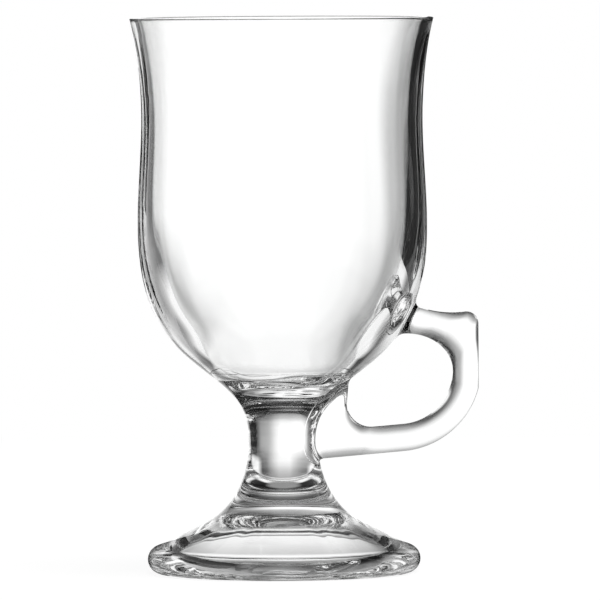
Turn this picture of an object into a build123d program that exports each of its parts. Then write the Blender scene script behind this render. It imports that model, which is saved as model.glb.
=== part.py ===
from build123d import *
import os
from math import asin, cos, degrees, radians, sin, tan

# Irish coffee mug in clear glass: bowl, stem, foot and handle, fused face to face.
# Sizes are millimetres and degrees. The mug stands on z = 0 around the z axis, with its handle along +x.
# The outside passes through named stations. A station's rise is its height above the station before it.

mug_height = 139.1

# Foot
foot_radius = 34.15
foot_edge_radius = 3.5
foot_slope_angle = 23.5
foot_slope_radius = 23.0
foot_slope_rise = 4.15
foot_neck_radius = 16.0
foot_neck_rise = 4.2
foot_joint_radius = 11.5
foot_joint_rise = 5.75
bearing_ring_width = 3.35
hollow_depth = 12.8

# Stem, whose dished top is the conical seat of the bowl
stem_waist_radius = 8.6
stem_waist_rise = 12.7
stem_flare_radius = 10.3
stem_flare_rise = 7.75
stem_cup_radius = 13.05
stem_cup_rise = 3.7
seat_radius = 19.55
seat_rise = 5.55
seat_depth = 6.4

# Bowl, whose wall is measured level, from the outside inwards
base_radius = 26.7
base_rise = 6.25
base_wall = 8.0
shoulder_radius = 32.5
shoulder_rise = 9.1
shoulder_wall = 6.8
belly_radius = 35.93
belly_rise = 17.6
belly_wall = 4.6
waist_radius = 35.0
waist_rise = 30.9
waist_wall = 3.65
rim_radius = 38.0
rim_wall = 2.8
rim_flare_angle = 14.0
floor_thickness = 5.2
floor_flat_radius = 11.0
floor_flat_rise = 0.7

# Handle, a flat-sided loop whose finger hole is level with the edge of the seat
handle_reach = 48.9
handle_thickness = 10.0
handle_slope_angle = 5.0
side_strap_width = 6.45
lower_strap_width = 6.6
thumb_strap_width = 5.1
thumb_dish_radius = 25.0
thumb_dish_angle = 24.0
thumb_corner_radius = 2.9
flat_edge_drop = 4.25
lower_sweep_reach = 30.2
hole_left = 16.9
hole_top_length = 11.5
hole_top_rise = 9.3
hole_sweep_radius = 13.5
hole_corner_radius = 6.0
outer_edge_rounding = 1.8
hole_edge_rounding = 2.6
root_inset = 4.0

# Heights of the stations
foot_edge_height = foot_edge_radius * (1 + cos(radians(foot_slope_angle)))
foot_slope_height = foot_edge_height + foot_slope_rise
foot_neck_height = foot_slope_height + foot_neck_rise
foot_joint_height = foot_neck_height + foot_joint_rise
stem_waist_height = foot_joint_height + stem_waist_rise
stem_flare_height = stem_waist_height + stem_flare_rise
stem_cup_height = stem_flare_height + stem_cup_rise
seat_height = stem_cup_height + seat_rise
base_height = seat_height + base_rise
shoulder_height = base_height + shoulder_rise
belly_height = shoulder_height + belly_rise
waist_height = belly_height + waist_rise
rim_height = mug_height
floor_height = seat_height - seat_depth + floor_thickness

# Places of the finger hole
hole_right = handle_reach - side_strap_width
hole_top = seat_height + hole_top_rise
hole_sweep_centre = Vector(hole_right - hole_sweep_radius, seat_height)


def outside_curve():
    """The outside from the rounded edge of the foot up to the rounded rim."""
    slope = radians(foot_slope_angle)
    flare = radians(rim_flare_angle)
    rim_round = rim_wall / 2
    return Spline(
        (foot_radius - foot_edge_radius * (1 - sin(slope)), foot_edge_height),
        (foot_slope_radius, foot_slope_height),
        (foot_neck_radius, foot_neck_height),
        (foot_joint_radius, foot_joint_height),
        (stem_waist_radius, stem_waist_height),
        (stem_flare_radius, stem_flare_height),
        (stem_cup_radius, stem_cup_height),
        (seat_radius, seat_height),
        (base_radius, base_height),
        (shoulder_radius, shoulder_height),
        (belly_radius, belly_height),
        (waist_radius, waist_height),
        (rim_radius - rim_round * (1 - cos(flare)), rim_height - rim_round * (1 + sin(flare))),
        tangents=[(-cos(slope), sin(slope)), (sin(flare), cos(flare))],
    )


def inside_curve(start):
    """The inside of the bowl from the rounded rim down to the middle of its floor."""
    flare = radians(rim_flare_angle)
    return Spline(
        start,
        (waist_radius - waist_wall, waist_height),
        (belly_radius - belly_wall, belly_height),
        (shoulder_radius - shoulder_wall, shoulder_height),
        (base_radius - base_wall, base_height),
        (floor_flat_radius, floor_height + floor_flat_rise),
        (0, floor_height),
        tangents=[(-sin(flare), -cos(flare)), (-1, 0)],
    )


def turned(*edges):
    """A solid of revolution about the z axis, from a closed profile of radius and height."""
    away_from_handle = Plane((0, 0, 0), x_dir=(-1, 0, 0), z_dir=(0, 1, 0))
    return revolve(away_from_handle * make_face(edges), Axis.Z)


def glass_body():
    """Bowl, stem and foot as one turned body, before it is parted at the joints."""
    ring_outer = foot_radius - foot_edge_radius
    ring_inner = ring_outer - bearing_ring_width
    hollow = TangentArc((0, hollow_depth), (ring_inner, 0), tangent=(1, 0))
    ring = Line((ring_inner, 0), (ring_outer, 0))
    foot_edge = CenterArc((ring_outer, foot_edge_radius), foot_edge_radius, -90, 180 - foot_slope_angle)
    outside = outside_curve()
    rim_centre = (rim_radius - rim_wall / 2, rim_height - rim_wall / 2)
    rim = CenterArc(rim_centre, rim_wall / 2, -rim_flare_angle, 180)
    inside = inside_curve(rim @ 1)
    middle = Line((0, floor_height), (0, hollow_depth))
    return turned(hollow, ring, foot_edge, outside, rim, inside, middle)


def filled_outside():
    """Everything within the outside of the mug, which the handle stands on."""
    outside = outside_curve()
    low, high = outside @ 0, outside @ 1
    bottom = Line((0, low.Y), low)
    top = Line(high, (0, high.Y))
    middle = Line((0, high.Y), (0, low.Y))
    return turned(bottom, outside, top, middle)


def below_seat():
    """Everything below the conical seat, which is carried on past the outside."""
    overshoot = 2
    edge_height = seat_height + seat_depth * (overshoot - 1)
    profile = Polyline(
        (0, 0),
        (0, seat_height - seat_depth),
        (overshoot * seat_radius, edge_height),
        (overshoot * seat_radius, 0),
        close=True,
    )
    return turned(profile)


def outer_outline():
    """The handle's outer outline in x and z, closed inside the bowl and the stem."""
    slope = radians(handle_slope_angle)
    along = Vector(cos(slope), sin(slope))
    down = Vector(sin(slope), -cos(slope))
    dish_rise = radians(thumb_dish_angle)
    dish_centre = Vector(hole_right, hole_top + thumb_strap_width + thumb_dish_radius)
    dish_end_angle = degrees(asin(side_strap_width / thumb_dish_radius))
    dish = CenterArc(dish_centre, thumb_dish_radius, -90 - thumb_dish_angle, thumb_dish_angle + dish_end_angle)
    top_root = dish @ 0 + Vector(-1, tan(dish_rise)) * ((dish @ 0).X - root_inset)
    under = hole_sweep_centre + down * (hole_sweep_radius + lower_strap_width)
    sweep_start = under + along * ((lower_sweep_reach - under.X) / along.X)
    low_root = under + along * ((root_inset - under.X) / along.X)
    flat_end = Vector(handle_reach, seat_height - flat_edge_drop)
    outline = make_face(
        [
            Line(top_root, dish @ 0),
            dish,
            Line(dish @ 1, flat_end),
            TangentArc(sweep_start, flat_end, tangent=along),
            Line(sweep_start, low_root),
            Line(low_root, top_root),
        ]
    )
    thumb_corner = outline.vertices().sort_by_distance(dish @ 1)[0]
    return fillet(thumb_corner, thumb_corner_radius)


def hole_outline():
    """The finger hole in x and z, closed inside the bowl."""
    slope = radians(handle_slope_angle)
    sweep = CenterArc(hole_sweep_centre, hole_sweep_radius, handle_slope_angle - 90, 90 - handle_slope_angle)
    top_centre = (hole_right - hole_top_length, seat_height)
    top = EllipticalCenterArc(top_centre, hole_top_length, hole_top_rise, 0, arc_size=90)
    low_corner = (hole_left, (sweep @ 0).Y - tan(slope) * ((sweep @ 0).X - hole_left))
    left = FilletPolyline(top @ 1, (hole_left, hole_top), low_corner, sweep @ 0, radius=hole_corner_radius)
    return make_face([sweep, top, left])


def make_handle():
    """The flat loop with rounded edges, cut to stand on the bowl and on the stem."""
    loop = Plane.XZ * (outer_outline() - hole_outline())
    blank = extrude(loop, handle_thickness / 2, both=True)
    sides = blank.faces().filter_by(Axis.Y)
    outer_edges = [edge for side in sides for edge in side.outer_wire().edges()]
    blank = fillet(outer_edges, outer_edge_rounding)
    sides = blank.faces().filter_by(Axis.Y)
    hole_edges = [edge for side in sides for edge in side.inner_wires()[0].edges()]
    blank = fillet(hole_edges, hole_edge_rounding)
    return blank - filled_outside()


body = glass_body()
seat = below_seat()
lower = body & seat
joint_plane = Plane.XY.offset(foot_joint_height)
pieces = {
    "bowl": body - seat,
    "stem": split(lower, joint_plane, keep=Keep.TOP),
    "foot": split(lower, joint_plane, keep=Keep.BOTTOM),
    "handle": make_handle(),
}

os.makedirs("parts", exist_ok=True)
for name, piece in pieces.items():
    piece.label = name
    export_step(piece, f"parts/{name}.step")
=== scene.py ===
import math

import bpy
import numpy as np
from mathutils import Matrix, Vector


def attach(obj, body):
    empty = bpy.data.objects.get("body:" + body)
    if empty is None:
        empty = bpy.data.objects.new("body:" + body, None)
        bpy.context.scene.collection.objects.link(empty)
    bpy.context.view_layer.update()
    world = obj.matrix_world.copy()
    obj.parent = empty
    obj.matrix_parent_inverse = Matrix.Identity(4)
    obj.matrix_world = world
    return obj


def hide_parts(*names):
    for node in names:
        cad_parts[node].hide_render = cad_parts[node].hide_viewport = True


# Irish coffee mug in clear glass, photographed against white. Sizes of the mug are millimetres and degrees.
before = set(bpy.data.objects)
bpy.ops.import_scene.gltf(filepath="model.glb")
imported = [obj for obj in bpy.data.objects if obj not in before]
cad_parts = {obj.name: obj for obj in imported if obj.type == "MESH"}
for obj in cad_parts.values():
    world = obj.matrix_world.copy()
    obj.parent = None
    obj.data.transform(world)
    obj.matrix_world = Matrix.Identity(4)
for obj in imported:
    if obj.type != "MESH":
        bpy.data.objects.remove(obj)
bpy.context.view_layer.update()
MM = 0.001

mug_height = 139.1

# Foot
foot_radius = 34.15
foot_edge_radius = 3.5
foot_slope_angle = 23.5
foot_slope_radius = 23.0
foot_slope_rise = 4.15
foot_neck_radius = 16.0
foot_neck_rise = 4.2
foot_joint_radius = 11.5
foot_joint_rise = 5.75
bearing_ring_width = 3.35
hollow_depth = 12.8

# Stem
stem_waist_radius = 8.6
stem_waist_rise = 12.7
stem_flare_radius = 10.3
stem_flare_rise = 7.75
stem_cup_radius = 13.05
stem_cup_rise = 3.7
seat_radius = 19.55
seat_rise = 5.55
seat_depth = 6.4

# Bowl
base_radius = 26.7
base_rise = 6.25
base_wall = 8.0
shoulder_radius = 32.5
shoulder_rise = 9.1
shoulder_wall = 6.8
belly_radius = 35.93
belly_rise = 17.6
belly_wall = 4.6
waist_radius = 35.0
waist_rise = 30.9
waist_wall = 3.65
rim_radius = 38.0
rim_wall = 2.8
lip_crown = 0.3
rim_flare_angle = 14.0
floor_thickness = 5.2
floor_flat_radius = 11.0
floor_flat_rise = 0.7
bore_offset = 0.3

# Unevenness of the pressed glass, and where it fades out
inner_wave = 0.06
seam_height = 0.2
seam_half_width = 1.0
side_wave = 0.4
stem_seam_share = 0.35
stem_ripple = 0.03
foot_wave = 0.15
floor_wave = 0.09
wave_twist = 0.03
wave_sway = 0.5
shortest_sway = 9.0
longest_sway = 22.0
fade_length = 15.0
calm_at_rim = 4.0
calm_at_axis = 4.0
floor_wave_radius = 19.0
floor_fade_length = 6.0
stem_calm_at_foot = 1.0
stem_low_fade_length = 4.0
stem_top_fade_length = 6.0
hollow_calm_radius = 8.0
hollow_fade_length = 12.0
hollow_edge_fade_length = 3.0

# Waves on the bowl's floor and on the stem: radians to a millimetre, turns about the axis, and phase
FLOOR_SWIRLS = (1.25, 2, 0), (0.8, -3, 1)
STEM_RIPPLES = (2.3, 3, 0), (0.9, 0, 1)

# Handle
handle_reach = 48.9
handle_thickness = 10.0
handle_slope_angle = 5.0
side_strap_width = 6.45
lower_strap_width = 6.6
thumb_strap_width = 5.1
thumb_dish_radius = 25.0
thumb_dish_angle = 24.0
thumb_corner_radius = 2.9
flat_edge_drop = 4.25
flat_edge_rounding = 2.0
lower_sweep_reach = 30.2
hole_left = 16.9
hole_top_length = 11.5
hole_top_rise = 9.3
hole_sweep_radius = 13.5
hole_corner_radius = 6.0
hole_side_rise = 2.5
hole_start_reach = 24.0
root_run = 6.0
root_inset = 4.0
web_length = 7.0
web_bow = 5.0
edge_rounding = 0.8
crown_roundness = 1.05
hole_crown_width = 5.0
web_crown_width = 2.4
outer_crown_width = 3.6

# Angles at which the hole's outline is cut, across from the bends of the outer outline
thumb_bend_start = 50
thumb_bend_end = 32
kink_start = -15
kink_end = -18

# Shares of the way along the handle: where its web starts to bow into the stem and the hole's crown starts
# to narrow, and over how much of the way they do so
web_bow_start = 0.78
web_bow_share = 0.22
narrowing_start = 0.76
narrowing_share = 0.12

# How far the handle's glass runs out over the bowl and the stem, how round, and how soon the strap is even
bowl_root_spread = 1.8
stem_root_side_spread = 3.0
stem_root_edge_spread = 1.0
root_pull = 0.42
root_fade_power = 6

# Room round the roots that waves keep clear of: middle height, half width and half height
BOWL_ROOT_ROOM = 63.0, 9.5, 8.0
STEM_ROOT_ROOM = 39.0, 10.0, 14.0

# Heights of the stations on the outside
foot_edge_height = foot_edge_radius * (1 + math.cos(math.radians(foot_slope_angle)))
foot_slope_height = foot_edge_height + foot_slope_rise
foot_neck_height = foot_slope_height + foot_neck_rise
foot_joint_height = foot_neck_height + foot_joint_rise
stem_waist_height = foot_joint_height + stem_waist_rise
stem_flare_height = stem_waist_height + stem_flare_rise
stem_cup_height = stem_flare_height + stem_cup_rise
seat_height = stem_cup_height + seat_rise
base_height = seat_height + base_rise
shoulder_height = base_height + shoulder_rise
belly_height = shoulder_height + belly_rise
waist_height = belly_height + waist_rise
rim_height = mug_height
seat_bottom = seat_height - seat_depth
floor_height = seat_bottom + floor_thickness
hole_right = handle_reach - side_strap_width
hole_top = seat_height + hole_top_rise
ring_outer = foot_radius - foot_edge_radius
ring_inner = ring_outer - bearing_ring_width

# Grey levels of the studio as the glass sees it. SIDES and LOW_SIDES give them by angle about the mug's axis
# in degrees, where 90 is straight behind it, for level directions and for those that point down. HEIGHTS
# dims both by the height of the direction, from -1 straight down to 1 straight up. RAISED is the share of
# SIDES at a height, and BELOW the share of the floor, which mirrored rays see in a grey of its own.
SIDES = [
    (-180, 0.3), (-20, 0.25), (8, 0.1), (30, 0.03), (50, 0.02), (54, 0.06), (57, 0.18), (61, 0.32),
    (67, 0.38), (72, 0.44), (75, 0.54), (78, 0.7), (80, 0.82), (83, 0.97), (87, 1.14), (98, 1.16),
    (104, 1.25), (111, 1.25), (116, 1.1), (120, 0.75), (124, 0.25), (130, 0.12), (148, 0.1), (162, 0.3),
    (180, 0.3),
]
LOW_SIDES = [
    (-180, 0.4), (-20, 0.35), (8, 0.2), (18, 0.08), (58, 0.1), (70, 0.28), (80, 0.86), (85, 1.1),
    (97, 1.14), (102, 0.86), (107, 0.68), (113, 0.55), (121, 0.5), (127, 0.4), (134, 0.24), (150, 0.2),
    (162, 0.4), (180, 0.4),
]
HEIGHTS = [
    (-1.0, 0.05), (-0.87, 0.08), (-0.7, 0.16), (-0.55, 0.36), (-0.45, 0.46), (-0.36, 0.68), (-0.26, 0.9),
    (-0.12, 1.0), (0.12, 1.0), (0.24, 0.82), (0.36, 0.5), (0.54, 0.36), (0.7, 0.28), (0.85, 0.16),
    (1.0, 0.05),
]
RAISED = [(-1, 0), (-0.26, 0), (-0.1, 1), (1, 1)]
BELOW = [(-0.97, 1), (-0.92, 0)]
MIRRORED_FLOOR_LEVEL = 0.3

# White sheets round the mug: middle angle, half width in degrees, lowest and highest direction
SHEETS = [
    (-135, 20, -0.88, 0.1), (-90, 15, -0.88, 0.1), (-45, 20, -0.88, 0.1), (0, 13, -0.6, 0.1),
    (45, 9, -0.62, -0.34), (135, 6, -0.64, -0.42), (180, 18, -0.6, 0.1),
]
SHEET_SOFT_TURN = 9
SHEET_SOFT_RISE = 0.1
SHEET_LEVEL = 1.05

# Corners of the black cards of painted shade in metres, which only the glass sees: painted dark reflections
# at its edges, and under the foot painted shade seen through it; those of the foot and the outline stand on
# both sides
RIGHT_SHADE_CARD = [(0.0369, 0.017, 0.064), (0.09, 0.017, 0.064), (0.09, 0.017, 0.2), (0.0369, 0.017, 0.2)]
LEFT_SHADE_CARD = [(-0.15, 0.185, 0.062), (-0.15, 0.285, 0.062), (-0.15, 0.285, 0.35), (-0.15, 0.185, 0.35)]
EDGE_SHADE_CARD = [(-0.06, 0.017, 0.05), (-0.039, 0.017, 0.05), (-0.039, 0.017, 0.2), (-0.06, 0.017, 0.2)]
HANDLE_SHADE_CARD = [(0.03, 0.013, 0.018), (0.09, 0.013, 0.018), (0.09, 0.013, 0.066), (0.0492, 0.013, 0.066)]
FOOT_SHADE_CARD = [(0.029, -0.03, -0.001), (0.07, -0.03, -0.001), (0.07, 0.03, -0.001), (0.029, 0.03, -0.001)]
OUTLINE_SHADE_CARD = [(0.0347, 0.01, 0.0005), (0.08, 0.01, 0.0005), (0.08, 0.01, 0.04), (0.0135, 0.01, 0.04)]

# Fineness of the meshes, in points
SIDE_CELLS = 40
ARC_CELLS = 20
EDGE_CELLS = 60
BOWL_COLUMNS = EDGE_CELLS + 300
STEM_COLUMNS = EDGE_CELLS + 300
FOOT_COLUMNS = 480
HANDLE_STATIONS = 300
ROOT_RINGS = 14
BOWL_LOW_ROWS = 24
BOWL_HIGH_ROWS = 150
STEM_LOW_ROWS = 16
RING_ROWS = 25
FEWEST_POINTS = 6
SLOPE_EVERY = 40

# Fineness in millimetres: steps along curves, rows close to a joint, and what counts as on the axis
OUTSIDE_STEP = 0.01
INSIDE_STEP = 0.35
LIP_STEP = 0.05
HOLLOW_STEP = 0.5
RAIL_STEP = 0.15
ROW_AT_JOINT = 0.08
ROW_NEAR_JOINT = 0.3
ON_AXIS = 1e-9

# Shares of the way across a joint or a root at which its rings lie
SEAT_SHARES = np.r_[np.linspace(0, 0.96, 13), 0.985, 1.0]
FOOT_JOINT_SHARES = np.r_[np.linspace(0, 0.95, 9), 0.985, 1.0]
PATCH_SHARES = np.r_[np.linspace(0, 0.9, 9)[1:], 0.96, 0.985]
CLOSING_SHARES = 0.75, 0.5, 0.25

# How often the waves of the glass run round the axis, and the seeds of their phases
SIDE_TURNS = 7, 11, 17, 26, 33
BOWL_TURNS = 2, 3, 5, 7, 9, 12, 16, 21, 27, 34
FOOT_TURNS = 3, 5, 8, 13, 21, 34
SIDE_SEED = 5
BOWL_SEED = 11
FOOT_SEED = 23


def smooth_curve(stations, first, last, step):
    """Points of a smooth curve through the stations, which starts and ends in the given directions."""
    points = np.array(stations, float)
    chords = np.linalg.norm(np.diff(points, axis=0), axis=1)
    count = len(points)
    weights = np.eye(count)
    slopes = np.zeros((count, 2))
    slopes[0], slopes[-1] = first, last
    for i in range(1, count - 1):
        before, after = chords[i - 1], chords[i]
        weights[i, i - 1:i + 2] = after, 2 * (before + after), before
        from_before = after / before * (points[i] - points[i - 1])
        to_after = before / after * (points[i + 1] - points[i])
        slopes[i] = 3 * (from_before + to_after)
    slopes = np.linalg.solve(weights, slopes)
    stretches = []
    for i, chord in enumerate(chords):
        t = np.linspace(0, 1, math.ceil(chord / step) + 1)[:, None]
        ends = (2 * t**3 - 3 * t**2 + 1) * points[i] + (3 * t**2 - 2 * t**3) * points[i + 1]
        bend = (t**3 - 2 * t**2 + t) * slopes[i] + (t**3 - t**2) * slopes[i + 1]
        stretches.append((ends + chord * bend)[:-1])
    return np.concatenate([*stretches, points[-1:]])


def arc(centre, radius, start, end, step=0.1):
    """Points of an arc between two angles in degrees; a pair of radii gives a part of an ellipse."""
    radii = np.ones(2) * radius
    turn = math.radians(end - start)
    angles = math.radians(start) + np.linspace(0, turn, math.ceil(abs(turn) * max(radii) / step) + 2)
    return np.array(centre) + radii * np.column_stack([np.cos(angles), np.sin(angles)])


def line(start, end, count=80):
    """Evenly spaced points of a straight line."""
    return np.linspace(start, end, count)


def spread(points, count):
    """The same line of points, with count points spaced evenly along it."""
    length = np.r_[0, np.cumsum(np.linalg.norm(np.diff(points, axis=0), axis=1))]
    places = np.linspace(0, length[-1], count)
    return np.column_stack([np.interp(places, length, column) for column in points.T])


def unit(vectors):
    """The vectors made one long."""
    return vectors / np.linalg.norm(vectors, axis=-1, keepdims=True)


def lip():
    """The softly rounded lip, from the outside of the bowl over to its inside."""
    half = rim_wall / 2
    return arc((rim_radius - half, rim_height - lip_crown), (half, lip_crown), 0, 180, LIP_STEP)


def outside_curve():
    """The outside from the rounded edge of the foot up to the lip."""
    slope = math.radians(foot_slope_angle)
    flare = math.radians(rim_flare_angle)
    stations = [
        (foot_radius - foot_edge_radius * (1 - math.sin(slope)), foot_edge_height),
        (foot_slope_radius, foot_slope_height),
        (foot_neck_radius, foot_neck_height),
        (foot_joint_radius, foot_joint_height),
        (stem_waist_radius, stem_waist_height),
        (stem_flare_radius, stem_flare_height),
        (stem_cup_radius, stem_cup_height),
        (seat_radius, seat_height),
        (base_radius, base_height),
        (shoulder_radius, shoulder_height),
        (belly_radius, belly_height),
        (waist_radius, waist_height),
        tuple(lip()[0]),
    ]
    up = (-math.cos(slope), math.sin(slope))
    out = (math.sin(flare), math.cos(flare))
    return smooth_curve(stations, up, out, OUTSIDE_STEP)


def inside_curve(start):
    """The inside of the bowl from the rounded rim down to the middle of its floor."""
    flare = math.radians(rim_flare_angle)
    stations = [
        start,
        (waist_radius - waist_wall, waist_height),
        (belly_radius - belly_wall, belly_height),
        (shoulder_radius - shoulder_wall, shoulder_height),
        (base_radius - base_wall, base_height),
        (floor_flat_radius, floor_height + floor_flat_rise),
        (0, floor_height),
    ]
    return smooth_curve(stations, (-math.sin(flare), -math.cos(flare)), (-1, 0), INSIDE_STEP)


OUTSIDE = outside_curve()


def outside_radius(height):
    """Radius of the mug's outside at a height."""
    return np.interp(height, OUTSIDE[:, 1], OUTSIDE[:, 0])


def outside_rows(heights):
    """Rows of radius and height on the outside."""
    return np.column_stack([outside_radius(heights), heights])


def outside_normal(points):
    """Direction away from the glass at points on the outside."""
    step = 0.05
    height = points[:, 2]
    lean = (outside_radius(height + step) - outside_radius(height - step)) / (2 * step)
    flat = unit(points[:, :2])
    return unit(np.column_stack([flat, -lean]))


def on_outside(angle, height):
    """Points on the outside at given angles about the axis and heights."""
    radius = outside_radius(height)
    return np.column_stack([radius * np.cos(angle), radius * np.sin(angle), height])


def handle_spans():
    """The handle's outer outline and its hole's outline in x and z, cut into parts that belong together."""
    slope = math.radians(handle_slope_angle)
    along = np.array([math.cos(slope), math.sin(slope)])
    down = np.array([math.sin(slope), -math.cos(slope)])
    lowest = handle_slope_angle - 90

    dish_centre = np.array([hole_right, hole_top + thumb_strap_width + thumb_dish_radius])
    corner_x = handle_reach - thumb_corner_radius
    reach = thumb_dish_radius + thumb_corner_radius
    corner_fall = math.sqrt(reach**2 - (corner_x - hole_right) ** 2)
    corner_centre = np.array([corner_x, dish_centre[1] - corner_fall])
    corner_angle = math.degrees(math.asin((corner_x - hole_right) / reach))
    dish = arc(dish_centre, thumb_dish_radius, -90 - thumb_dish_angle, -90 + corner_angle)
    dish_slope = math.radians(thumb_dish_angle)
    root_line = line(dish[0] + root_run * np.array([-math.cos(dish_slope), math.sin(dish_slope)]), dish[0])
    thumb_corner = arc(corner_centre, thumb_corner_radius, 90 + corner_angle, 0)

    sweep_centre = np.array([hole_right - hole_sweep_radius, seat_height])
    under = sweep_centre + down * (hole_sweep_radius + lower_strap_width)
    sweep_start = under + along * (lower_sweep_reach - under[0]) / along[0]
    flat_end = np.array([handle_reach, seat_height - flat_edge_drop])
    chord = flat_end - sweep_start
    outer_radius = chord @ chord / (2 * chord @ -down)
    outer_centre = sweep_start - down * outer_radius
    kink_x = handle_reach - flat_edge_rounding
    kink_fall = math.sqrt((outer_radius - flat_edge_rounding) ** 2 - (kink_x - outer_centre[0]) ** 2)
    kink_centre = np.array([kink_x, outer_centre[1] - kink_fall])
    kink_angle = -math.degrees(math.atan2(kink_fall, kink_x - outer_centre[0]))
    flat_edge = line(thumb_corner[-1], (handle_reach, kink_centre[1]))
    kink = arc(kink_centre, flat_edge_rounding, 0, kink_angle)
    outer_sweep = arc(outer_centre, outer_radius, kink_angle, lowest)

    ellipse_centre = (hole_right - hole_top_length, seat_height)
    ellipse = hole_top_length, hole_top_rise
    hole_start = line((hole_start_reach, hole_top), (ellipse_centre[0], hole_top))
    first_bend = arc(ellipse_centre, ellipse, 90, thumb_bend_start)
    second_bend = arc(ellipse_centre, ellipse, thumb_bend_start, thumb_bend_end)
    third_bend = arc(ellipse_centre, ellipse, thumb_bend_end, 0)
    side = arc(sweep_centre, hole_sweep_radius, 0, kink_start)
    short_side = arc(sweep_centre, hole_sweep_radius, kink_start, kink_end)
    hole_sweep = arc(sweep_centre, hole_sweep_radius, kink_end, lowest)
    half_turn = math.radians(90 - handle_slope_angle) / 2
    low_corner = hole_sweep[-1] - along * (hole_sweep[-1][0] - hole_left) / along[0]
    corner_start = low_corner + along * hole_corner_radius * math.tan(half_turn)
    left_centre = corner_start - down * hole_corner_radius
    hole_bottom = line(hole_sweep[-1], corner_start)
    hole_corner = arc(left_centre, hole_corner_radius, lowest, -180)
    hole_side = line(hole_corner[-1], (hole_left, seat_height + hole_side_rise))

    middle = sweep_start - along * web_length
    inner_end = sweep_start - along * (sweep_start[0] - root_inset) / along[0]
    return [
        ([root_line, dish], [hole_start, first_bend]),
        ([thumb_corner], [second_bend]),
        ([flat_edge], [third_bend, side]),
        ([kink], [short_side]),
        ([outer_sweep], [hole_sweep]),
        ([line(sweep_start, middle)], [hole_bottom]),
        ([line(middle, inner_end)], [hole_corner, hole_side]),
    ]


def crown_drop(depth, width):
    """How far a crowned side falls back towards an edge, at a depth below that edge."""
    radius = crown_roundness * width
    rest = np.clip(width - depth, 0, width)
    return radius - np.sqrt(radius**2 - rest**2)


def edge_profile(width):
    """Across a rounded edge from front to back, for each crown width: depth below the edge and place in y."""
    radius = crown_roundness * width
    depth = edge_rounding * (1 - width / radius) / (1 - edge_rounding / radius)
    start = np.arcsin((width - depth) / radius)
    angle = np.linspace(start, 0 * start + math.pi / 2, ARC_CELLS + 1)
    wall = handle_thickness / 2 - crown_drop(depth, width) - edge_rounding * np.cos(start)
    depths = edge_rounding * (1 - np.sin(angle))
    places = -wall - edge_rounding * np.cos(angle)
    middle = np.linspace(places[-1], -places[-1], EDGE_CELLS - 2 * ARC_CELLS + 1)[1:-1]
    all_depths = np.concatenate([depths, 0 * middle, depths[::-1]])
    all_places = np.concatenate([places, middle, -places[::-1]])
    return all_depths, all_places


def eased(value):
    """A value held between 0 and 1, which starts and ends softly."""
    share = np.clip(value, 0, 1)
    return share**2 * (3 - 2 * share)


def handle_rails():
    """Lines along the handle from the bowl to the stem, one for each place round its section."""
    outer, hole = [], []
    for outer_parts, hole_parts in handle_spans():
        outer_line = np.concatenate(outer_parts)
        hole_line = np.concatenate(hole_parts)
        length = np.linalg.norm(np.diff(outer_line, axis=0), axis=1).sum()
        count = max(FEWEST_POINTS, math.ceil(length / RAIL_STEP))
        outer.append(spread(outer_line, count)[:-1])
        hole.append(spread(hole_line, count)[:-1])
    outer = np.concatenate(outer)
    hole = np.concatenate(hole)
    outer_way = unit(np.gradient(outer, axis=0))
    hole_way = unit(np.gradient(hole, axis=0))
    outer_in = np.column_stack([outer_way[:, 1], -outer_way[:, 0]])
    hole_in = np.column_stack([-hole_way[:, 1], hole_way[:, 0]])

    along = np.linspace(0, 1, len(outer))
    into_stem = eased((along - web_bow_start) / web_bow_share)
    narrowed = eased((along - narrowing_start) / narrowing_share)
    hole_width = hole_crown_width + narrowed * (web_crown_width - hole_crown_width)
    outer_width = np.full(len(outer), outer_crown_width)
    outer_depths, outer_places = edge_profile(outer_width)
    hole_depths, hole_places = edge_profile(hole_width)
    outer_side = outer + outer_depths[0][:, None] * outer_in
    hole_side = hole + hole_depths[0][:, None] * hole_in
    width = np.linalg.norm(outer_side - hole_side, axis=1)

    rails = []

    def add(flat, y):
        rails.append(np.column_stack([flat[:, 0], y + 0 * flat[:, 0], flat[:, 1]]))

    def add_side(share, front):
        flat = hole_side + share * (outer_side - hole_side)
        flat = flat - np.column_stack([4 * web_bow * share * (1 - share) * into_stem, 0 * into_stem])
        drop = crown_drop(hole_depths[0] + share * width, hole_width)
        drop += crown_drop(outer_depths[0] + (1 - share) * width, outer_width)
        add(flat, front * (handle_thickness / 2 - drop))

    shares = 0.5 - 0.5 * np.cos(np.linspace(0, math.pi, SIDE_CELLS + 1))
    for share in shares[:-1]:
        add_side(share, -1)
    for depth, y in zip(outer_depths[:-1], outer_places[:-1]):
        add(outer + depth[:, None] * outer_in, y)
    for share in shares[:0:-1]:
        add_side(share, 1)
    for depth, y in zip(hole_depths[:0:-1], hole_places[:0:-1]):
        add(hole + depth[:, None] * hole_in, y)
    return np.array(rails)


def along_rail(rail, place):
    """Points on a rail at places counted in its own points."""
    counts = np.arange(len(rail))
    return np.column_stack([np.interp(place, counts, column) for column in rail.T])


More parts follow.
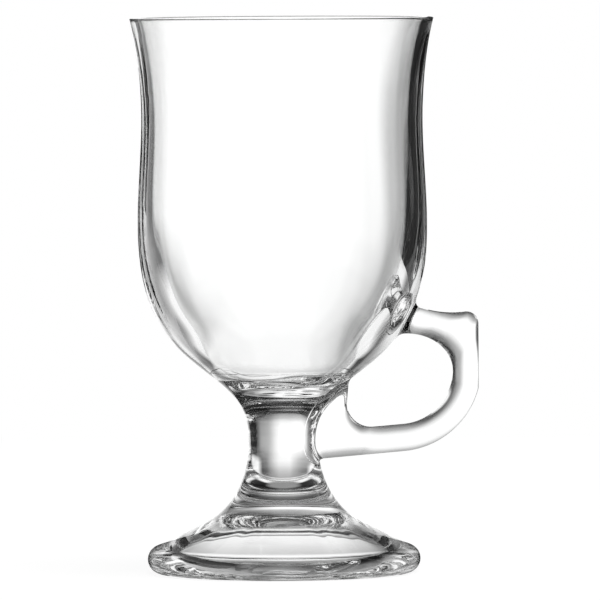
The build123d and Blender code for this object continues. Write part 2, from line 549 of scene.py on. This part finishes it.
def root(rails, spreads, at_stem):
    """Where the rails meet the outside: rings of a rounded root, and the place on each rail where it ends."""
    if at_stem:
        rails = rails[:, ::-1]
    gap = np.hypot(rails[..., 0], rails[..., 1]) - outside_radius(rails[..., 2])
    first_out = np.argmax(gap > 0, axis=1)
    rows = np.arange(len(rails))
    inner, outer = gap[rows, first_out - 1], gap[rows, first_out]
    contact_place = first_out - outer / (outer - inner)
    lengths = np.linalg.norm(np.diff(rails, axis=1), axis=2)
    lengths = np.concatenate([np.zeros((len(rails), 1)), np.cumsum(lengths, axis=1)], axis=1)
    counts = np.arange(rails.shape[1])

    contact = np.array([along_rail(r, [p])[0] for r, p in zip(rails, contact_place)])
    contact_length = np.array([np.interp(p, counts, s) for p, s in zip(contact_place, lengths)])
    way = rails[rows, first_out + 2] - rails[rows, first_out - 2]
    round_section = np.roll(contact, -1, axis=0) - np.roll(contact, 1, axis=0)
    away = np.cross(way, round_section) * (-1 if at_stem else 1)
    away = unit(away)
    side_share = np.abs(away[:, 1])
    spread_here = spreads[1] + (spreads[0] - spreads[1]) * side_share

    end_place = np.array([
        np.interp(c + s, length, counts) for c, s, length in zip(contact_length, spread_here, lengths)
    ])
    end = np.array([along_rail(r, [p])[0] for r, p in zip(rails, end_place)])
    end_way = np.array([along_rail(r, [p - 1, p + 1]) for r, p in zip(rails, end_place)])
    end_way = unit(end_way[:, 0] - end_way[:, 1])

    normal = outside_normal(contact)
    over_surface = unit(away - np.sum(away * normal, axis=1, keepdims=True) * normal)
    foot = contact + spread_here[:, None] * over_surface
    angle = np.arctan2(foot[:, 1], foot[:, 0])
    print_on = on_outside(angle, foot[:, 2])
    foot_normal = outside_normal(print_on)
    back = contact - print_on
    back = unit(back - np.sum(back * foot_normal, axis=1, keepdims=True) * foot_normal)
    pull = root_pull * np.linalg.norm(end - print_on, axis=1, keepdims=True)
    first_pull = print_on + pull * back
    last_pull = end + pull * end_way
    rings = []
    for t in np.linspace(0, 1, ROOT_RINGS):
        start_part = (1 - t) ** 3 * print_on + 3 * (1 - t) ** 2 * t * first_pull
        end_part = 3 * (1 - t) * t**2 * last_pull + t**3 * end
        rings.append(start_part + end_part)
    if at_stem:
        end_place = rails.shape[1] - 1 - end_place
        rings = rings[::-1]
    return np.array(rings), end_place, np.column_stack([angle, foot[:, 2]])


class Shell:
    """Points and faces of one mesh while it is put together."""

    def __init__(self):
        self.points = []
        self.faces = []
        self.joint_faces = []
        self.count = 0

    def add(self, points):
        """Adds points and returns their numbers."""
        self.points.append(points)
        numbers = np.arange(self.count, self.count + len(points))
        self.count += len(points)
        return numbers

    def band(self, ring_a, ring_b, joint=False):
        """Faces between two closed rings, or between a ring and a single point."""
        next_a, next_b = np.roll(ring_a, -1), np.roll(ring_b, -1)
        if len(ring_a) == 1:
            faces = np.column_stack([np.full(len(ring_b), ring_a[0]), next_b, ring_b])
        elif len(ring_b) == 1:
            faces = np.column_stack([ring_a, next_a, np.full(len(ring_a), ring_b[0])])
        else:
            faces = np.column_stack([ring_a, next_a, next_b, ring_b])
        (self.joint_faces if joint else self.faces).extend(faces.tolist())

    def finished(self, name, materials):
        """The mesh as an object of the scene, with smooth glass and flat joints."""
        faces = self.faces + self.joint_faces
        mesh = bpy.data.meshes.new(name)
        mesh.from_pydata((np.concatenate(self.points) * MM).tolist(), [], faces)
        smooth = np.ones(len(faces), bool)
        smooth[len(self.faces):] = False
        mesh.polygons.foreach_set("use_smooth", smooth)
        mesh.polygons.foreach_set("material_index", (~smooth).astype(np.int32))
        for material in materials:
            mesh.materials.append(material)
        mesh.update()
        piece = bpy.data.objects.new(name, mesh)
        bpy.context.scene.collection.objects.link(piece)
        return piece


def root_patch(shell, border, border_places, print_places, flipped):
    """Joins a four-sided border on the outside to the handle's footprint, which a joint closes."""
    before = border
    for share in PATCH_SHARES:
        places = border_places + share * (print_places - border_places)
        ring = shell.add(on_outside(places[:, 0], places[:, 1]))
        shell.band(*((before, ring) if flipped else (ring, before)))
        before = ring
    ring = shell.add(on_outside(print_places[:, 0], print_places[:, 1]))
    shell.band(*((before, ring) if flipped else (ring, before)))
    close_root(shell, ring, print_places, flipped)


def close_root(shell, ring, places, flipped):
    """Closes a footprint on the outside with rings that shrink to its middle."""
    middle = places.mean(axis=0)
    before = ring
    for share in CLOSING_SHARES:
        inner = middle + share * (places - middle)
        ring = shell.add(on_outside(inner[:, 0], inner[:, 1]))
        shell.band(*((before, ring) if flipped else (ring, before)), joint=True)
        before = ring
    point = shell.add(on_outside(middle[:1], middle[1:]))
    shell.band(*((before, point) if flipped else (point, before)), joint=True)


def turned(profile, columns, window=None, change=None):
    """A mesh turned about the axis from rows of radius, height and joint; a window leaves room for a root."""
    shell = Shell()
    if window:
        border_turn = window["half_angle"]
        front = np.linspace(-border_turn, border_turn, EDGE_CELLS + 1)
        rest = np.linspace(border_turn, 2 * math.pi - border_turn, columns - EDGE_CELLS + 1)
        angles = np.r_[front, rest[1:-1]]
    else:
        angles = np.linspace(0, 2 * math.pi, columns, endpoint=False)
    rings = []
    for radius, height in profile[:, :2]:
        if radius < ON_AXIS:
            rings.append(shell.add(np.array([[0.0, 0.0, height]])))
            continue
        radii = np.full(len(angles), radius)
        heights = np.full(len(angles), height)
        if change:
            radii, heights = change(radii, heights, angles)
        rings.append(shell.add(np.column_stack([radii * np.cos(angles), radii * np.sin(angles), heights])))
    for i in range(len(profile) - 1):
        joint = bool(profile[i][2] and profile[i + 1][2])
        low, high = rings[i], rings[i + 1]
        if window and window["row"] <= i < window["row"] + SIDE_CELLS:
            kept = np.arange(EDGE_CELLS, len(angles))
            after = (kept + 1) % len(angles)
            faces = np.column_stack([low[kept], low[after], high[after], high[kept]])
            shell.faces.extend(faces.tolist())
        else:
            shell.band(low, high, joint)
    if window:
        rows = np.array(rings[window["row"]:window["row"] + SIDE_CELLS + 1])
        up = np.arange(SIDE_CELLS)
        across = np.arange(EDGE_CELLS)
        heights = profile[window["row"]:window["row"] + SIDE_CELLS + 1, 1]
        if window["hole_on_top"]:
            row = np.r_[SIDE_CELLS - up, 0 * across, up, 0 * across + SIDE_CELLS]
        else:
            row = np.r_[up, 0 * across + SIDE_CELLS, SIDE_CELLS - up, 0 * across]
        column = np.r_[0 * up, across, 0 * up + EDGE_CELLS, EDGE_CELLS - across]
        border = rows[row, column]
        border_places = np.column_stack([angles[column], heights[row]])
        root_patch(shell, border, border_places, window["footprint"], window["hole_on_top"])
    return shell


def with_joint(rows, joint):
    """Rows marked as lying on a joint or not."""
    return np.column_stack([rows, np.full(len(rows), float(joint))])


def seat_rows():
    """Rows of the conical seat from the axis out to its edge."""
    return np.array([0, seat_bottom]) + SEAT_SHARES[:, None] * np.array([seat_radius, seat_depth])


def foot_joint_rows():
    """Rows of the flat joint between stem and foot from the axis outwards."""
    return np.array([0, foot_joint_height]) + FOOT_JOINT_SHARES[:, None] * np.array([foot_joint_radius, 0])


def joined(*parts):
    """Rows in order, without the first row of each later part, which lies on the row before it."""
    rows = [parts[0]]
    for part in parts[1:]:
        rows.append(part[1:])
    return np.concatenate(rows)


def uneven(heights, angles, seed, turns):
    """Repeatable unevenness of pressed glass: waves round the axis that lean and sway with height."""
    generator = np.random.default_rng(seed)
    wave = np.zeros(len(angles))
    for times in turns:
        phase = generator.uniform(0, 2 * math.pi)
        twist = generator.uniform(-wave_twist, wave_twist)
        sway = 1 + wave_sway * np.sin(heights / generator.uniform(shortest_sway, longest_sway) + phase)
        wave += sway * np.sin(times * angles + phase + twist * heights) / times
    return wave


def crossing(places, angles, waves):
    """Waves that cross each other, over places in millimetres and angles about the axis."""
    return [np.sin(pace * places + turns * angles + phase) for pace, turns, phase in waves]


def seam(radii, heights, angles):
    """The two mould seams, towards the handle and away from it, with the unevenness beside them."""
    off_seam = radii * np.abs((angles + math.pi / 2) % math.pi - math.pi / 2)
    ridge = np.exp(-((off_seam / seam_half_width) ** 2))
    ripple = uneven(heights, angles, SIDE_SEED, SIDE_TURNS)
    return seam_height * ridge + side_wave * np.cos(angles) ** 4 * ripple


def off_root(radii, heights, angles, room):
    """0 round a root of the handle and 1 farther off, so that waves fade out before they reach it."""
    middle, half_width, half_height = room
    across = radii * np.abs((angles + math.pi) % (2 * math.pi) - math.pi)
    off = np.maximum(across / half_width, np.abs(heights - middle) / half_height)
    return eased(off - 1)


def bowl_waves(radii, heights, angles):
    """Waves run down the inside of the bowl, and two mould seams down its outside."""
    inside = radii < outside_radius(heights) - 0.7 * rim_wall
    wave = inner_wave * uneven(heights, angles, BOWL_SEED, BOWL_TURNS)
    fade = np.clip((rim_height - calm_at_rim - heights) / fade_length, 0, 1)
    inner_fade = fade * np.clip((radii - calm_at_axis) / fade_length, 0, 1)
    outer_fade = fade * np.clip((heights - base_height) / fade_length, 0, 1)
    outer_fade = outer_fade * off_root(radii, heights, angles, BOWL_ROOT_ROOM)
    wave -= bore_offset * np.cos(angles)
    floor_fade = inside * np.clip((floor_wave_radius - radii) / floor_fade_length, 0, 1)
    floor_fade = floor_fade * np.clip(radii / calm_at_axis, 0, 1)
    swirl = sum(crossing(radii, angles, FLOOR_SWIRLS))
    radii = radii + np.where(inside, inner_fade * wave, outer_fade * seam(radii, heights, angles))
    return radii, heights + floor_wave * floor_fade * swirl


def stem_waves(radii, heights, angles):
    """The mould seams and small ripples on the sides of the stem."""
    outside = radii > outside_radius(heights) - 0.05
    fade = np.clip((heights - foot_joint_height - stem_calm_at_foot) / stem_low_fade_length, 0, 1)
    fade = fade * np.clip((stem_cup_height - heights) / stem_top_fade_length, 0, 1)
    leaning, level = crossing(heights, angles, STEM_RIPPLES)
    ripple = leaning * level * np.cos(angles) ** 4
    wave = stem_seam_share * seam(radii, heights, angles) + stem_ripple * ripple
    fade = fade * off_root(radii, heights, angles, STEM_ROOT_ROOM)
    return radii + np.where(outside, fade * wave, 0), heights


def foot_waves(radii, heights, angles):
    """The pressed hollow under the foot is uneven towards its ring."""
    in_hollow = (radii < ring_inner - 0.01) & (heights < hollow_depth + 0.01)
    fade = np.clip((radii - hollow_calm_radius) / hollow_fade_length, 0, 1)
    fade = fade * np.clip((ring_inner - radii) / hollow_edge_fade_length, 0, 1)
    wave = foot_wave * uneven(heights, angles, FOOT_SEED, FOOT_TURNS)
    return radii, heights + np.where(in_hollow, fade * wave, 0)


def make_bowl(footprint, materials):
    """The tulip-shaped cup with its rounded lip; the handle's upper root stands on its outside."""
    room_below, room_above, room_beside = 1.2, 1.6, 1.3
    low = footprint[:, 1].min() - room_below
    high = footprint[:, 1].max() + room_above
    outer_heights = np.r_[
        seat_height,
        seat_height + ROW_AT_JOINT,
        np.linspace(seat_height + ROW_NEAR_JOINT, low, BOWL_LOW_ROWS),
        np.linspace(low, high, SIDE_CELLS + 1)[1:-1],
        np.linspace(high, OUTSIDE[-1, 1], BOWL_HIGH_ROWS),
    ]
    inside = inside_curve(lip()[-1])
    inside[-1, 0] = 0
    profile = joined(
        with_joint(seat_rows(), True),
        with_joint(outside_rows(outer_heights), False),
        with_joint(lip(), False),
        with_joint(inside, False),
    )
    window = {
        "row": len(seat_rows()) + BOWL_LOW_ROWS,
        "half_angle": abs(footprint[:, 0]).max() * room_beside,
        "footprint": footprint,
        "hole_on_top": False,
    }
    return turned(profile, BOWL_COLUMNS, window, bowl_waves).finished("bowl", materials)


def make_stem(footprint, materials):
    """The solid waisted column with its dished top; the handle's lower root stands on its side."""
    room_below, room_at_seat, room_beside = 1.8, 0.35, 1.4
    low = footprint[:, 1].min() - room_below
    high = seat_height - room_at_seat
    heights = np.r_[
        foot_joint_height,
        foot_joint_height + ROW_AT_JOINT,
        np.linspace(foot_joint_height + ROW_NEAR_JOINT, low, STEM_LOW_ROWS),
        np.linspace(low, high, SIDE_CELLS + 1)[1:],
        seat_height - ROW_AT_JOINT,
        seat_height,
    ]
    profile = joined(
        with_joint(foot_joint_rows(), True),
        with_joint(outside_rows(heights), False),
        with_joint(seat_rows()[::-1], True),
    )
    window = {
        "row": len(foot_joint_rows()) + STEM_LOW_ROWS,
        "half_angle": abs(footprint[:, 0]).max() * room_beside,
        "footprint": footprint,
        "hole_on_top": True,
    }
    return turned(profile, STEM_COLUMNS, window, stem_waves).finished("stem", materials)


def make_foot(materials):
    """The flared disc with a domed hollow underneath and a flat ring to stand on."""
    hollow_radius = (ring_inner**2 + hollow_depth**2) / (2 * hollow_depth)
    half_turn = math.degrees(math.asin(ring_inner / hollow_radius))
    hollow = arc((0, hollow_depth - hollow_radius), hollow_radius, 90, 90 - half_turn, HOLLOW_STEP)
    hollow[0, 0] = 0
    ring = line((ring_inner, 0), (ring_outer, 0), RING_ROWS)
    edge = arc((ring_outer, foot_edge_radius), foot_edge_radius, -90, 90 - foot_slope_angle)
    slope = OUTSIDE[OUTSIDE[:, 1] < foot_joint_height - ROW_NEAR_JOINT][::SLOPE_EVERY]
    top = outside_rows(foot_joint_height - np.array([0.25, ROW_AT_JOINT, 0]))
    profile = joined(
        with_joint(hollow, False),
        with_joint(ring, False),
        with_joint(edge, False),
        with_joint(slope, False),
        with_joint(np.concatenate([slope[-1:], top]), False),
        with_joint(foot_joint_rows()[::-1], True),
    )
    return turned(profile, FOOT_COLUMNS, None, foot_waves).finished("foot", materials)


def make_handle(rails, bowl_root, stem_root, materials):
    """The flat-sided loop between its two rounded roots."""
    bowl_rings, start_place, bowl_print = bowl_root
    stem_rings, end_place, stem_print = stem_root
    share = np.linspace(0, 1, HANDLE_STATIONS)
    common = start_place.max() + share * (end_place.min() - start_place.max())
    place = common[:, None] + (start_place - start_place.max()) * (1 - share[:, None]) ** root_fade_power
    place = place + (end_place - end_place.min()) * share[:, None] ** root_fade_power
    strap = np.stack([along_rail(rail, place[:, i]) for i, rail in enumerate(rails)], axis=1)
    rings = np.concatenate([bowl_rings, strap[1:-1], stem_rings])
    shell = Shell()
    numbers = [shell.add(ring) for ring in rings]
    for before, after in zip(numbers, numbers[1:]):
        shell.band(after, before)
    close_root(shell, numbers[0], bowl_print, True)
    close_root(shell, numbers[-1], stem_print, False)
    return shell.finished("handle", materials)


def clear_glass():
    """Clear pressed glass, with very slight unevenness of its surface and tint."""
    material = bpy.data.materials.new("clear_glass")
    material.use_nodes = True
    nodes, links = material.node_tree.nodes, material.node_tree.links
    shader = nodes["Principled BSDF"]
    shader.inputs["Transmission Weight"].default_value = 1.0
    shader.inputs["IOR"].default_value = 1.5
    shader.inputs["Roughness"].default_value = 0.0
    place = nodes.new("ShaderNodeTexCoord")
    noise = nodes.new("ShaderNodeTexNoise")
    noise.inputs["Scale"].default_value = 60.0
    noise.inputs["Detail"].default_value = 2.0
    tint = nodes.new("ShaderNodeValToRGB")
    tint.color_ramp.elements[0].color = (0.990, 0.993, 0.992, 1)
    tint.color_ramp.elements[1].color = (0.998, 1.0, 0.999, 1)
    bump = nodes.new("ShaderNodeBump")
    bump.inputs["Strength"].default_value = 0.03
    bump.inputs["Distance"].default_value = 0.0005
    links.new(place.outputs["Object"], noise.inputs["Vector"])
    links.new(noise.outputs["Fac"], tint.inputs["Fac"])
    links.new(tint.outputs["Color"], shader.inputs["Base Color"])
    links.new(noise.outputs["Fac"], bump.inputs["Height"])
    links.new(bump.outputs["Normal"], shader.inputs["Normal"])
    return material


def fused_joint():
    """Where glass was joined to glass while hot, light passes straight on."""
    material = bpy.data.materials.new("fused_joint")
    material.use_nodes = True
    nodes, links = material.node_tree.nodes, material.node_tree.links
    nodes.remove(nodes["Principled BSDF"])
    through = nodes.new("ShaderNodeBsdfTransparent")
    links.new(through.outputs["BSDF"], nodes["Material Output"].inputs["Surface"])
    return material


def grey(level):
    """A grey, from 0 for black to 1 for white."""
    return (level, level, level, 1)


def set_levels(node, levels, low, high):
    """Sets grey levels of a colour ramp at values between low and high."""
    elements = node.color_ramp.elements
    while len(elements) < len(levels):
        elements.new(0.5)
    for element, (value, level) in zip(elements, levels):
        element.position = (value - low) / (high - low)
        element.color = grey(level)


def ramp(nodes, links, value, levels, low, high):
    """A colour ramp of grey levels over a value between two limits."""
    share = nodes.new("ShaderNodeMapRange")
    share.inputs["From Min"].default_value = low
    share.inputs["From Max"].default_value = high
    links.new(value, share.inputs["Value"])
    colours = nodes.new("ShaderNodeValToRGB")
    links.new(share.outputs["Result"], colours.inputs["Fac"])
    set_levels(colours, levels, low, high)
    return colours.outputs["Color"]


def maths(nodes, links, operation, *values):
    """A calculation on values, each of which is a plain number or another node's output."""
    node = nodes.new("ShaderNodeMath")
    node.operation = operation
    for socket, value in zip(node.inputs, values):
        if isinstance(value, bpy.types.NodeSocket):
            links.new(value, socket)
        else:
            socket.default_value = value
    return node.outputs[0]


def mixed(nodes, links, first, second, share, blend="MIX"):
    """Two colours mixed by a share; any of them is a plain value or another node's output."""
    mix = nodes.new("ShaderNodeMix")
    mix.data_type = "RGBA"
    mix.blend_type = blend
    for name, value in (("A", first), ("B", second), ("Factor", share)):
        if isinstance(value, bpy.types.NodeSocket):
            links.new(value, mix.inputs[name])
        else:
            mix.inputs[name].default_value = value
    return mix.outputs["Result"]


def studio_world():
    """A white backdrop for the camera; the glass sees bright and dark sides of the studio round it."""
    world = bpy.data.worlds.new("studio")
    bpy.context.scene.world = world
    world.use_nodes = True
    nodes, links = world.node_tree.nodes, world.node_tree.links
    place = nodes.new("ShaderNodeTexCoord")
    parts = nodes.new("ShaderNodeSeparateXYZ")
    links.new(place.outputs["Generated"], parts.inputs["Vector"])
    height = parts.outputs["Z"]
    angle = maths(nodes, links, "ARCTAN2", parts.outputs["Y"], parts.outputs["X"])
    angle = maths(nodes, links, "DEGREES", angle)
    sides = ramp(nodes, links, angle, SIDES, -180, 180)
    low_sides = ramp(nodes, links, angle, LOW_SIDES, -180, 180)
    heights = ramp(nodes, links, height, HEIGHTS, -1, 1)
    raised = ramp(nodes, links, height, RAISED, -1, 1)
    colour = mixed(nodes, links, low_sides, sides, raised)
    colour = mixed(nodes, links, colour, heights, 1.0, "MULTIPLY")
    for middle, half_width, low, high in SHEETS:
        turn = maths(nodes, links, "SUBTRACT", angle, middle)
        turn = maths(nodes, links, "WRAP", turn, 180.0, -180.0)
        turn = maths(nodes, links, "ABSOLUTE", turn)
        widths = [(0, 1), (half_width, 1), (half_width + SHEET_SOFT_TURN, 0)]
        rises = [(low - SHEET_SOFT_RISE, 0), (low, 1), (high, 1), (high + SHEET_SOFT_RISE, 0)]
        across = ramp(nodes, links, turn, widths, 0, 180)
        upwards = ramp(nodes, links, height, rises, -1, 1)
        sheet = mixed(nodes, links, across, upwards, 1.0, "MULTIPLY")
        colour = mixed(nodes, links, colour, grey(SHEET_LEVEL), sheet)
    below = ramp(nodes, links, height, BELOW, -1, 1)
    path = nodes.new("ShaderNodeLightPath")
    mirrored = maths(nodes, links, "GREATER_THAN", path.outputs["Glossy Depth"], 0.5)
    floor = mixed(nodes, links, grey(1), grey(MIRRORED_FLOOR_LEVEL), mirrored)
    colour = mixed(nodes, links, colour, floor, below)
    colour = mixed(nodes, links, colour, grey(1), path.outputs["Is Camera Ray"])
    links.new(colour, nodes["Background"].inputs["Color"])


def studio_floor():
    """A white floor that takes a faint shadow."""
    mesh = bpy.data.meshes.new("floor")
    half = 0.6
    corners = [(-half, -half, 0), (half, -half, 0), (half, half, 0), (-half, half, 0)]
    mesh.from_pydata(corners, [], [(0, 1, 2, 3)])
    material = bpy.data.materials.new("floor_white")
    material.use_nodes = True
    shader = material.node_tree.nodes["Principled BSDF"]
    shader.inputs["Base Color"].default_value = grey(0.2)
    shader.inputs["Roughness"].default_value = 1.0
    shader.inputs["Specular IOR Level"].default_value = 0.0
    shader.inputs["Emission Color"].default_value = grey(1)
    shader.inputs["Emission Strength"].default_value = 0.92
    mesh.materials.append(material)
    floor = bpy.data.objects.new("floor", mesh)
    floor.visible_transmission = False
    floor.visible_glossy = False
    bpy.context.scene.collection.objects.link(floor)


def painted_shade_black(for_mirrored_rays):
    """Black painted shade; where asked, only for rays that the glass mirrored, as a painted dark reflection,
    so that no card shows through it.
    """
    material = bpy.data.materials.new("painted_shade_black")
    material.use_nodes = True
    nodes, links = material.node_tree.nodes, material.node_tree.links
    shader = nodes["Principled BSDF"]
    shader.inputs["Base Color"].default_value = grey(0.02)
    shader.inputs["Roughness"].default_value = 1.0
    if for_mirrored_rays:
        path = nodes.new("ShaderNodeLightPath")
        mirrored = maths(nodes, links, "GREATER_THAN", path.outputs["Glossy Depth"], 0.5)
        through = nodes.new("ShaderNodeBsdfTransparent")
        choice = nodes.new("ShaderNodeMixShader")
        links.new(mirrored, choice.inputs["Fac"])
        links.new(through.outputs["BSDF"], choice.inputs[1])
        links.new(shader.outputs["BSDF"], choice.inputs[2])
        links.new(choice.outputs["Shader"], nodes["Material Output"].inputs["Surface"])
    return material


def painted_shade_card(name, corners, for_mirrored_rays=True, seen_through_glass=True):
    """A black card of painted shade that only the glass sees, which draws a dark edge in it as a painted dark
    reflection or as painted shade seen through it.
    """
    mesh = bpy.data.meshes.new(name)
    mesh.from_pydata(corners, [], [(0, 1, 2, 3)])
    mesh.materials.append(painted_shade_black(for_mirrored_rays))
    card = bpy.data.objects.new(name, mesh)
    card.visible_camera = False
    card.visible_diffuse = False
    card.visible_shadow = False
    card.visible_transmission = seen_through_glass
    bpy.context.scene.collection.objects.link(card)


def soft_light(name, place, target, width, height, power):
    """A rectangular soft light that looks at a target."""
    light = bpy.data.lights.new(name, "AREA")
    light.shape = "RECTANGLE"
    light.size, light.size_y = width, height
    light.energy = power
    lamp = bpy.data.objects.new(name, light)
    lamp.location = place
    lamp.rotation_euler = (Vector(target) - Vector(place)).to_track_quat("-Z", "Y").to_euler()
    lamp.visible_camera = False
    lamp.visible_glossy = False
    lamp.visible_transmission = False
    bpy.context.scene.collection.objects.link(lamp)


def photo_camera():
    """A long lens a little above the rim, as in the photograph."""
    distance, picture_width, roll = 2.3, 0.1502, 0.3
    aside, target_height, camera_height = 0.0043, 0.0683, 0.1618
    target = Vector((aside, 0.0, target_height))
    place = Vector((aside, -distance, camera_height))
    data = bpy.data.cameras.new("camera")
    data.sensor_width = 36.0
    data.lens = data.sensor_width * (target - place).length / picture_width
    data.clip_start, data.clip_end = 0.05, 50.0
    camera = bpy.data.objects.new("camera", data)
    turn = (target - place).to_track_quat("-Z", "Y").to_matrix()
    turn = turn @ Matrix.Rotation(math.radians(-roll), 3, "Z")
    camera.matrix_world = Matrix.Translation(place) @ turn.to_4x4()
    bpy.context.scene.collection.objects.link(camera)
    bpy.context.scene.camera = camera


glass = clear_glass()
joint = fused_joint()
rails = handle_rails()
bowl_root = root(rails, (bowl_root_spread, bowl_root_spread), False)
stem_root = root(rails, (stem_root_side_spread, stem_root_edge_spread), True)
made = {
    "bowl": make_bowl(bowl_root[2], [glass, joint]),
    "stem": make_stem(stem_root[2], [glass, joint]),
    "foot": make_foot([glass, joint]),
    "handle": make_handle(rails, bowl_root, stem_root, [glass, joint]),
}
for name, piece in made.items():
    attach(piece, "root")
    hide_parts(name)

studio_world()
studio_floor()
# Black cards of painted shade that only the glass sees, drawn into it as painted dark reflections along its
# edges and outline
painted_shade_card("right_painted_shade", RIGHT_SHADE_CARD)
painted_shade_card("left_painted_shade", LEFT_SHADE_CARD)
painted_shade_card("edge_painted_shade", EDGE_SHADE_CARD, seen_through_glass=False)
painted_shade_card("handle_painted_shade", HANDLE_SHADE_CARD, seen_through_glass=False)
# The foot's cards lie just under the floor: painted shade under the foot's ends, seen through the glass
for side in (-1, 1):
    painted_shade_card("foot_painted_shade", [(side * x, y, z) for x, y, z in FOOT_SHADE_CARD], for_mirrored_rays=False)
    painted_shade_card("outline_painted_shade", [(side * x, y, z) for x, y, z in OUTLINE_SHADE_CARD], seen_through_glass=False)
soft_light("top_light", place=(0.3, -0.3, 1.4), target=(0, 0, 0), width=1.0, height=1.0, power=12.0)
photo_camera()

scene = bpy.context.scene
scene.view_settings.view_transform = "Standard"
scene.cycles.max_bounces = 32
scene.cycles.transmission_bounces = 32
scene.cycles.glossy_bounces = 32
scene.cycles.transparent_max_bounces = 64
